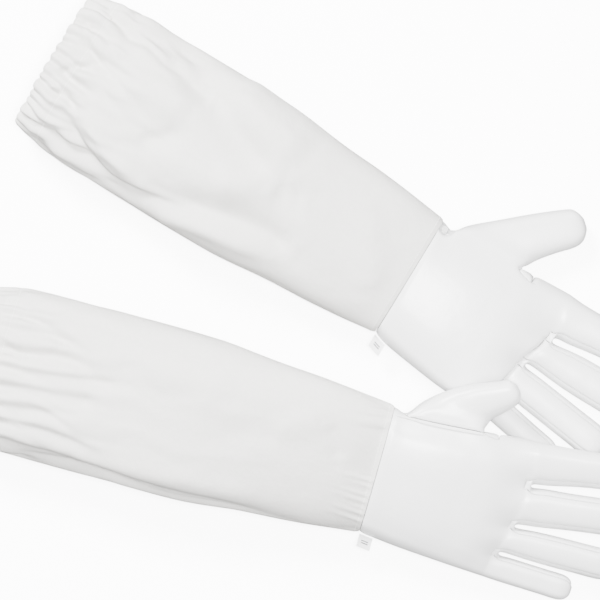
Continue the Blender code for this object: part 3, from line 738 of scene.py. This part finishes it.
def add_piece(glove, name, shape, material, node=None, uv=None, bend=None):
    """A piece of a glove in place of a CAD node; it rides on the hand, or where a bend is given it
    stays in place on no body, unbent.
    """
    points, faces = shape
    side = glove.side + "_"
    mesh = bpy.data.meshes.new(side + name)
    mesh.from_pydata(to_world(glove, points).tolist(), [], faces)
    if uv is not None:
        corners = np.zeros(len(mesh.loops), int)
        mesh.loops.foreach_get("vertex_index", corners)
        mesh.uv_layers.new(name="Cloth").data.foreach_set("uv", uv[corners].ravel())
    mesh.shade_smooth()
    mesh.set_sharp_from_angle(angle=math.radians(60))
    mesh.materials.append(glove.materials[material])
    made = placed(side + name, mesh)
    if node:
        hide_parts(side + node)
    if bend:
        body, *ends = bend
        start, end = to_world(glove, ends)
        tuple(start)
        tuple(end)
        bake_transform(made)
    else:
        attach(made, side + "hand")
    return made


def thumb_bend():
    """The thumb pieces' bend: the body it would end on, and from where to where; nothing bends by
    it.
    """
    places = [HAND_ROWS[k] for k in THUMB_ROWS]
    start, end = np.array([(u, along(THUMB_SIDE, u), BEND_HEIGHT) for u in places])
    run, middle = end - start, (start + end) / 2
    out = np.array([-run[1], run[0], 0.0])
    return "thumb", middle, middle + out * (BLEND_THUMB / np.linalg.norm(out))


def make_hand(glove):
    """The leather panels of one glove; returns its coarse skin for what is sewn to it."""
    skin, rings = hand_skin(glove)
    points, quads, labels = subdivided(skin.points, skin.quads, skin.labels)
    beside = edge_table(quads, labels)
    points = shape_seams(glove, points, quad_normals(points, quads), beside)
    normals = quad_normals(points, quads)
    for label in sorted(set(skin.labels)):
        patch = quads[labels == label]
        shape = shell(points, patch, normals, LEATHER, rim_pulls(points, normals, patch, beside))
        bend = thumb_bend() if label in ("thumb_front", "thumb_back") else None
        add_piece(glove, label + "_leather", shape, "leather", label, bend=bend)
    make_binding(glove, points, quads, normals)
    return skin, rings


def make_binding(glove, points, quads, normals):
    """The tape that binds the leather's edge inside the wrist seam."""
    band = quads[(points[quads][..., 0] < BINDING_WIDTH).all(axis=1)]
    under = points - normals * (LEATHER + BINDING_GAP)
    shape = shell(under, band, normals, BINDING_THICKNESS)
    add_piece(glove, "binding_tape", shape, "tape", "wrist_binding", shape[0][:, [1, 0]] * MM)


# ---- the sleeve's surface


def unit_section():
    """Shape of every section: share of the half width and of the thickness, round it."""
    sweep = np.cos(np.linspace(0, math.pi, 161))
    top = [(x, top_share(x)) for x in sweep]
    return np.array(top + [(x, bottom_share(x)) for x in -sweep[1:]]).T


UNIT = unit_section()


def section(u, inset):
    """One section of the sleeve as a closed line: v, z and the distance along it."""
    half, tall = along(SLEEVE_HALF, u) - inset, along(SLEEVE_HEIGHT, u) - 2 * inset
    v, z = UNIT[0] * half, inset + UNIT[1] * tall
    return v, z, np.cumsum([0, *np.hypot(np.diff(v), np.diff(z))])


WIDE_RUN = section(MEASURED_AT, 0)[2]
GIRTH = WIDE_RUN[-1]
FAR_SIDE = WIDE_RUN[len(WIDE_RUN) // 2] / GIRTH  # the little finger's side, in turns


def from_route(route, u, v):
    """Distance of points to a smooth route, its part across the hand, and the place along it."""
    steps = np.array([rail(route, t) for t in np.linspace(0, 1, ROUTE_STEPS + 1)])
    (run_u, run_v), (start_u, start_v) = (
        values.T[..., None, None] for values in (np.diff(steps, axis=0), steps[:-1])
    )
    from_u, from_v = u - start_u, v - start_v
    t = np.clip((from_u * run_u + from_v * run_v) / (run_u**2 + run_v**2), 0, 1)
    gap_v = from_v - t * run_v
    distance = np.hypot(from_u - t * run_u, gap_v)
    share = (np.arange(ROUTE_STEPS)[:, None, None] + t) / ROUTE_STEPS
    nearest = distance.argmin(axis=0)[None]
    return [np.take_along_axis(values, nearest, 0)[0] for values in (distance, gap_v, share)]


def crease(glove, u, v):
    """Height of the sleeve's larger soft folds at points of its upper side."""
    total = np.zeros_like(u)
    for route, above, below, height in glove.folds:
        distance, side_of, share = from_route(route, u, v)
        width = mix(below, above, 0.5 + 0.5 * side_of / np.maximum(distance, 1e-6))
        ends = smooth(share / FOLD_RISE) * smooth((1 - share) / FOLD_RISE)
        total += height * mix(FOLD_END, 1.0, ends) * bell(distance, width)
    return total * glove.fold_scale


def meander(glove, u, turn):
    """How far the gathers wander round the sleeve, in turns, beyond the elastic."""
    angle = 2 * math.pi * turn
    spots = np.stack([u, np.cos(angle), np.sin(angle)], axis=-1).reshape(-1, 3)
    spots = spots / (WANDER_LENGTH, 1, 1) * (1, WANDER_TURNS, WANDER_TURNS)
    waves = np.array([noise.noise(Vector(spot)) for spot in spots + (0, glove.seed, 0)])
    free = smooth((u + SLEEVE_LENGTH - WANDER_FROM) / WANDER_SPAN)
    return WANDER * waves.reshape(u.shape) * free


def gathers(glove, u, turn):
    """Depth, 0 to about 1, of the creases that run up the sleeve from its gathered cuff."""
    chance = random.Random(glove.seed)
    from_cuff = u + SLEEVE_LENGTH
    total = np.zeros_like(u)
    wander = meander(glove, u, turn)
    for k in range(CREASES):
        place = (k + chance.uniform(*CREASE_PLACE)) / CREASES
        spread = chance.uniform(*CREASE_WIDTH) / CREASES
        reach = mix(*glove.gather_reach, chance.random() ** 2)
        slant = chance.uniform(-1, 1) * GATHER_SLANT
        depth = chance.uniform(*CREASE_DEPTH)
        offset = turn - place - slant * from_cuff + wander
        offset -= np.round(offset)
        widened = spread * (1 + from_cuff / reach)
        total += depth * bell(offset, widened) * np.exp(-((from_cuff / reach) ** CREASE_FADE))
    return total


def puckers(glove, u, v, on_back):
    """Height of the short ridges that the wrist elastic draws into the back of the sleeve."""
    chance = random.Random(glove.seed + 1)
    total = np.zeros_like(u)
    for low, high, count in PUCKERS:
        for k in range(count):
            place = mix(low, high, (k + chance.uniform(*PUCKER_PLACE)) / count)
            width, height = chance.uniform(*PUCKER_WIDTH), chance.uniform(*PUCKER_HEIGHT)
            rise = smooth(-u / PUCKER_RISE) * bell(u, chance.uniform(*PUCKER_REACH))
            fanned = v - place * (1 + u / PUCKER_FAN)
            total += height * rise * (bell(fanned, width) - PUCKER_MEAN)
    return total * on_back


def ripples(glove, spots):
    """Small irregular waves of slack canvas, longer along the sleeve than round it."""
    seed = glove.seed

    def wave(spot, size, shift_v, shift_z):
        length, width = size
        place = (spot[0] / length, spot[1] / width + shift_v, spot[2] / width + shift_z)
        return noise.noise(Vector(place))

    waves = []
    for spot in spots.reshape(-1, 3):
        near = math.exp(-((spot[0] + SLEEVE_LENGTH) / glove.crumpled) ** 2)
        height = wave(spot, LONG_WAVES, seed, 0)
        height += (CALM + CRUMPLE * near) * wave(spot, SHORT_WAVES, 0, seed)
        height += PUFFS * near * (2 * abs(wave(spot, PUFF_WAVES, 3 * seed, 0)) - PUFF_MEAN)
        waves.append(glove.ripple * height)
    return np.array(waves).reshape(spots.shape[:-1])


def plain_grid(path, turns):
    """Points and outward directions of the sleeve without its folds."""
    spots, outward = np.zeros((2, len(path), len(turns), 3))
    for row, (u, inset) in enumerate(path):
        v, z, run = section(u, inset)
        spots[row, :, 0] = u
        spots[row, :, 1:] = np.transpose([np.interp(turns * run[-1], run, line) for line in (v, z)])
        v, z, run = section(u, 0)
        ends = [(turns * run[-1] + step) % run[-1] for step in (1.0, -1.0)]
        dv, dz = (np.subtract(*np.interp(ends, run, line)) for line in (v, z))
        outward[row, :, 1:] = np.transpose([dz, -dv] / np.hypot(dv, dz))
    return spots, outward


def sleeve_grid(glove, path, turns):
    """Points of the canvas along (u, inset) stations, at girth shares turns."""
    spots, outward = plain_grid(path, turns)
    u, v, up = spots[..., 0].copy(), spots[..., 1], outward[..., 2]
    from_cuff = u + SLEEVE_LENGTH
    top = smooth(up / UPWARD)
    gathered = gathers(glove, u, np.broadcast_to(turns, u.shape))
    centred = gathered - GATHER_MEAN * np.exp(-from_cuff / GATHER_FADE)
    slack = smooth(-u / SLACK_WRIST) * smooth(from_cuff / SLACK_CUFF) * mix(SLACK_UNDER, 1.0, top)
    back = smooth(-up / UPWARD) * PUCKER_UNDER if glove.palm_up else top
    move = crease(glove, u, v) * top * slack
    move += ripples(glove, spots) * slack
    move -= glove.gather_depth * centred * mix(GATHER_UNDER, 1.0, smooth(up + 1))
    move += puckers(glove, u, v, back)
    move -= HEM_DEPTH * bell(u - HEM - HEM_PULL, HEM_WIDTH)
    move -= WRIST_DEPTH * bell(u, WRIST_WIDTH)
    spots += outward * move[..., None]
    spots[..., 0] += SCALLOP * (gathered - SCALLOP_MEAN) * np.exp(-from_cuff / SCALLOP_FADE)
    spots[..., 2] += lift(glove, spots[..., 0], spots[..., 1])
    return spots


def grid_quads(rows, columns, closed):
    """Quads of a grid, facing outwards where its rows follow each other towards the fingers."""
    spots = np.arange(rows * columns).reshape(rows, columns)
    if closed:
        spots = np.hstack([spots, spots[:, :1]])
    corners = spots[:-1, :-1], spots[:-1, 1:], spots[1:, 1:], spots[1:, :-1]
    return np.stack(corners, axis=-1).reshape(-1, 4)


def cloth_piece(glove, name, node, material, path, turns, thickness, raised=0.0):
    """A piece of the sleeve along a path, all round it or over a range of its girth."""
    points = sleeve_grid(glove, path, turns).reshape(-1, 3)
    quads = grid_quads(len(path), len(turns), len(turns) == AROUND)
    normals = quad_normals(points, quads)
    shape = shell(points + normals * raised, quads, normals, thickness)
    run = np.cumsum([0, *(math.dist(a, b) for a, b in zip(path, path[1:]))])
    flat = np.stack(np.meshgrid(turns * GIRTH, run), axis=-1).reshape(-1, 2) * MM
    return add_piece(glove, name, shape, material, node, np.vstack([flat, flat]), SLEEVE_BEND)


def level(start, end, count, inset=0.0):
    """Stations along the sleeve at one depth."""
    return [(u, inset) for u in np.linspace(start, end, count)]


def casing_path():
    """Up the inside of the cuff, round its edge and back along the outside."""
    cuff, fold = -SLEEVE_LENGTH, CHANNEL / 2
    outer = level(HEM - 0.05, cuff + fold, 13)
    turned = [math.pi * k / 8 for k in range(1, 8)]
    edge = [(cuff + fold * (1 - math.sin(a)), fold * (1 - math.cos(a))) for a in turned]
    inner = level(cuff + fold, HEM + TURNED_IN, 13, CHANNEL)
    return (outer + edge + inner)[::-1]


def make_sleeve(glove):
    """The canvas sleeve with its hem, elastics and side seam."""
    around = np.arange(AROUND) / AROUND
    cuff, seam_turn = CHANNEL - SLEEVE_LENGTH, FAR_SIDE + SEAM_TURN
    cuff_path = level(cuff, cuff + ELASTIC_WIDTH, 12, ELASTIC_INSET)
    wrist_path = level(*WRIST_ELASTIC, 7, ELASTIC_INSET)
    seam_path = level(HEM + SEAM_ENDS[0], -SEAM_ENDS[1], 150)
    under, over = WRIST_ELASTIC_INSET
    on_back = (FAR_SIDE + under, 1 - under) if glove.palm_up else (over, FAR_SIDE - over)
    back = np.linspace(*on_back, 90)
    strip = np.linspace(seam_turn, seam_turn + SEAM_STRIP / GIRTH, 7)
    # name, CAD node, material, path, turns, thickness, and how far it is raised
    pieces = [
        ("sleeve_canvas", "sleeve", "canvas", level(HEM, -WRIST_GAP, ALONG), around, CANVAS),
        ("cuff_canvas", "cuff_casing", "canvas", casing_path(), around, CASING_CANVAS),
        ("cuff_band", "cuff_elastic", "elastic", cuff_path, around, ELASTIC_THICKNESS),
        ("wrist_band", "wrist_elastic", "elastic", wrist_path, back, WRIST_ELASTIC_THICKNESS),
        ("sleeve_side_seam", "sleeve_seam", "canvas", seam_path, strip, *SEAM_BUILD),
    ]
    sleeve, casing, *_, side_seam = [cloth_piece(glove, *piece) for piece in pieces]


# ---- trim and stitches


def tube_shape(route, normals, radii):
    """A closed round bar along a route on a surface, with a radius at each of its points."""
    ahead = unit(np.gradient(route, axis=0))
    across = unit(np.cross(ahead, normals))
    out = np.cross(across, ahead)
    turns = np.linspace(0, 2 * math.pi, TUBE_SIDES, endpoint=False)[None, :, None]
    wheel = np.cos(turns) * across[:, None] + np.sin(turns) * out[:, None]
    points = (route[:, None] + wheel * np.asarray(radii)[:, None, None]).reshape(-1, 3)
    quads = grid_quads(len(route), TUBE_SIDES, True).tolist()
    first, last = list(range(TUBE_SIDES)), (len(route) - 1) * TUBE_SIDES
    return points, quads + [first[::-1], [last + k for k in first]]


def joined(shapes):
    """Several closed shapes as one: points and faces."""
    points, faces, start = [], [], 0
    for spots, own_faces in shapes:
        points.append(spots)
        faces += [[k + start for k in face] for face in own_faces]
        start += len(spots)
    return np.vstack(points), faces


def stitch_row(route, normals):
    """A row of short raised stitches along a route on a surface."""
    run = np.cumsum([0, *np.linalg.norm(np.diff(route, axis=0), axis=1)])
    share, height, size = np.array(STITCH).T

    def values_at(at, values):
        return np.stack([np.interp(at, run, values[:, k]) for k in range(3)], axis=1)

    shapes = []
    for middle in np.arange(STITCH_PITCH / 2, run[-1] - STITCH_PITCH / 2, STITCH_PITCH):
        at = middle + share * STITCH_LENGTH
        out = values_at(at, normals)
        spots = values_at(at, route) + out * height[:, None]
        shapes.append(tube_shape(spots, out, STITCH_RADIUS * size))
    return joined(shapes)


def ring_route(glove, u):
    """A closed route round the canvas at u, with its normals."""
    path = level(u - 1.0, u + 1.0, 3)
    spots = sleeve_grid(glove, path, np.arange(AROUND) / AROUND)
    normals = quad_normals(spots.reshape(-1, 3), grid_quads(3, AROUND, True)).reshape(spots.shape)
    return [np.vstack([values[1], values[1, :1]]) for values in (spots, normals)]


def make_stitches(glove):
    """Topstitching of the wrist seam and of the hem."""
    for name, u in (("wrist_topstitch", -TOPSTITCH), ("hem_stitch", HEM + HEM_STITCH)):
        add_piece(glove, name, stitch_row(*ring_route(glove, u)), "thread", bend=SLEEVE_BEND)


def make_piping(glove, skin, rings):
    """The bead that covers the back panel's edge along the thumb."""
    coarse = np.array(skin.points)
    edge, beside = (-1, -2) if glove.palm_up else (1, 2)  # in the ring of a row
    rows = rings[: THUMB_ROWS[1] + 1]
    start, inward = (coarse[[row[k] for row in rows]] for k in (edge, beside))
    outs = quad_normals(coarse, np.array(skin.quads))[[row[edge] for row in rows]]
    spots = start + unit(inward - start) * PIPING_BACK + outs * (PIPING_RADIUS + PIPING_LIFT)
    spots[0, 0] += PIPING_START
    places, steps = np.linspace(0, 1, len(rows)), np.linspace(0, 1, PIPING_STEPS)

    def smooth_route(values):
        axes = [list(zip(places, values[:, k])) for k in range(3)]
        return np.array([[along(axis, t) for axis in axes] for t in steps])

    swell = PIPING_SWELL * np.minimum(steps, 1 - steps) ** PIPING_SWELL_POWER
    radii = PIPING_RADIUS * np.minimum(1.0, PIPING_END + swell)
    shape = tube_shape(smooth_route(spots), smooth_route(outs), radii)
    add_piece(glove, "thumb_bead", shape, "piping", "side_piping")


def make_label(glove):
    """The woven flag in the wrist seam, with two plain bars in place of its size letter."""
    steps = np.linspace(LABEL_FROM, LABEL_TO, 9)
    u, share = np.meshgrid(steps, np.linspace(0, 1, 13))
    edge = np.array([along(glove.little_side, at) for at in steps]) - LABEL_INSET
    height = MID * along(HAND_HEIGHT, 0) + LABEL_RISE + LABEL_BOW * np.sin(math.pi * share)
    spots = np.stack([u, edge - LABEL_REACH * share, height], axis=-1)
    spots[..., 2] += lift(glove, spots[..., 0], spots[..., 1])
    points, quads = spots.reshape(-1, 3), grid_quads(*share.shape, False)[:, ::-1]
    shape = shell(points, quads, quad_normals(points, quads), LABEL_THICKNESS)
    add_piece(glove, "size_flag", shape, "label", "size_label")
    bars = []
    for row in MARK_ROWS:
        route = spots[row, MARK_COLUMNS] + (0, 0, 0.1)
        out = np.tile((0.0, 0.0, 1.0), (len(route), 1))
        bars.append(tube_shape(route, out, [MARK_RADIUS] * len(route)))
    add_piece(glove, "size_mark", joined(bars), "ink")


# ---- materials


def fill(tree, made, inputs):
    """Gives a node its inputs, each of them a value or another node's output."""
    for key, value in inputs.items():
        if isinstance(value, bpy.types.NodeSocket):
            tree.links.new(value, made.inputs[key])
        else:
            made.inputs[key].default_value = value


def node(tree, kind, inputs, **settings):
    """A new shader node with its inputs and settings."""
    made = tree.nodes.new(kind)
    for key, value in settings.items():
        setattr(made, key, value)
    fill(tree, made, inputs)
    return made


def bump(tree, shader, height, distance, strength, under=None):
    """Adds a bump to the shader, on top of the one under it."""
    inputs = {"Height": height, "Distance": distance, "Strength": strength}
    if under:
        inputs["Normal"] = under
    made = node(tree, "ShaderNodeBump", inputs).outputs["Normal"]
    fill(tree, shader, {"Normal": made})
    return made


def tinted(tree, shader, colour, darkening, share):
    """Colours the shader from a darker tone to its colour by a share between 0 and 1."""
    dark = (*(darkening * c for c in colour), 1)
    ramp = node(tree, "ShaderNodeMix", {0: share, 6: dark, 7: (*colour, 1)}, data_type="RGBA")
    fill(tree, shader, {"Base Color": ramp.outputs[2]})


def base_material(name, colour, roughness, specular=0.5):
    made = bpy.data.materials.new(name)
    made.use_nodes = True
    tree, shader = made.node_tree, made.node_tree.nodes["Principled BSDF"]
    inputs = {"Base Color": (*colour, 1), "Roughness": roughness, "Specular IOR Level": specular}
    fill(tree, shader, inputs)
    return made, tree, shader


def cloud(tree, place, scale, detail):
    inputs = {"Vector": place, "Scale": scale, "Detail": detail}
    return node(tree, "ShaderNodeTexNoise", inputs).outputs["Fac"]


def leather_material(name, colour, roughness):
    """Smooth white leather: fine grain, faint unevenness and a satin finish."""
    made, tree, shader = base_material(name, colour, roughness, 0.7)
    place = node(tree, "ShaderNodeTexCoord", {}).outputs["Object"]
    grain = node(tree, "ShaderNodeTexVoronoi", {"Vector": place, "Scale": 1100.0})
    uneven = cloud(tree, place, 42.0, 3.0)
    under = bump(tree, shader, uneven, 0.0016, 0.35)
    bump(tree, shader, grain.outputs["Distance"], 0.0001, 0.3, under)
    tinted(tree, shader, colour, 0.955, uneven)
    return made


def woven_material(name, colour, roughness, pitch, depth):
    """Plain weave in the cloth's own coordinates, with slubs."""
    made, tree, shader = base_material(name, colour, roughness, 0.2)
    cloth = node(tree, "ShaderNodeTexCoord", {}).outputs["UV"]
    inputs = {"Vector": cloth, "Scale": 2 * math.pi / (20 * pitch * MM)}
    inputs |= {"Distortion": 0.6, "Detail": 1.0, "Detail Scale": 0.4}
    waves = [node(tree, "ShaderNodeTexWave", inputs, bands_direction=axis) for axis in "XY"]
    threads = {k: wave.outputs["Fac"] for k, wave in enumerate(waves)}
    weave = node(tree, "ShaderNodeMath", threads, operation="MULTIPLY")
    slub, broad = cloud(tree, cloth, 260.0, 4.0), cloud(tree, cloth, 70.0, 3.0)
    under = bump(tree, shader, broad, 0.0022, 0.35)
    under = bump(tree, shader, slub, 0.0004, 0.4, under)
    bump(tree, shader, weave.outputs["Value"], depth, 0.6, under)
    tinted(tree, shader, colour, 0.9, slub)
    return made


def make_materials():
    return {
        "leather": leather_material("white leather", LEATHER_COLOUR, 0.35),
        "piping": leather_material("piping leather", PIPING_COLOUR, 0.42),
        "canvas": woven_material("off-white canvas", CANVAS_COLOUR, 0.92, 1.1, 0.0002),
        "elastic": woven_material("white elastic", (0.74, 0.74, 0.72), 0.8, 2.0, 0.0003),
        "tape": woven_material("cotton tape", (0.76, 0.76, 0.74), 0.9, 0.8, 0.0001),
        "label": woven_material("woven label", (0.92, 0.92, 0.92), 0.75, 0.6, 0.00005),
        "thread": base_material("white thread", (0.84, 0.84, 0.82), 0.7)[0],
        "ink": base_material("label print", (0.08, 0.08, 0.09), 0.7)[0],
    }


# ---- floor, lights and camera


def make_floor():
    mesh = bpy.data.meshes.new("floor")
    ends = (-FLOOR_REACH, FLOOR_REACH)
    mesh.from_pydata([(x, y, 0) for x in ends for y in ends], [], [(0, 2, 3, 1)])
    made, tree, shader = base_material("floor", (0.93, 0.93, 0.93), 1.0, 0.0)
    fill(tree, shader, {"Emission Color": (1, 1, 1, 1), "Emission Strength": FLOOR_GLOW})
    mesh.materials.append(made)
    floor = placed("floor", mesh)
    floor.location.z = -FLOOR_DROP
    floor.visible_diffuse = floor.visible_glossy = False  # or it lights up the gloves' sides


def make_light(name, spot, size, power):
    """A round lamp that points at the middle of the pair."""
    data = bpy.data.lights.new(name, "AREA")
    data.shape = "DISK"
    data.size = size
    data.energy = power
    made = placed(name, data)
    made.location = spot
    made.rotation_euler = (-Vector(spot)).to_track_quat("-Z", "Y").to_euler()


def make_world():
    world = bpy.data.worlds.new("studio")
    bpy.context.scene.world = world
    world.use_nodes = True
    tree = world.node_tree
    fill(tree, tree.nodes["Background"], {"Color": (1, 1, 1, 1), "Strength": WORLD})


def make_camera():
    data = bpy.data.cameras.new("camera")
    data.lens = LENS
    data.sensor_width = SENSOR
    made = placed("camera", data)
    made.location = CAMERA_SPOT
    made.rotation_euler = (0, 0, math.radians(CAMERA_TURN))
    bpy.context.scene.camera = made


def main():
    make_camera()
    make_world()
    make_floor()
    for name, settings in LIGHTS.items():
        make_light(name, *settings)
    materials = make_materials()
    for side, shape in GLOVES.items():
        glove = SimpleNamespace(side=side, materials=materials, **shape)
        find_place(glove)
        make_piping(glove, *make_hand(glove))
        make_sleeve(glove)
        make_stitches(glove)
        make_label(glove)


main()
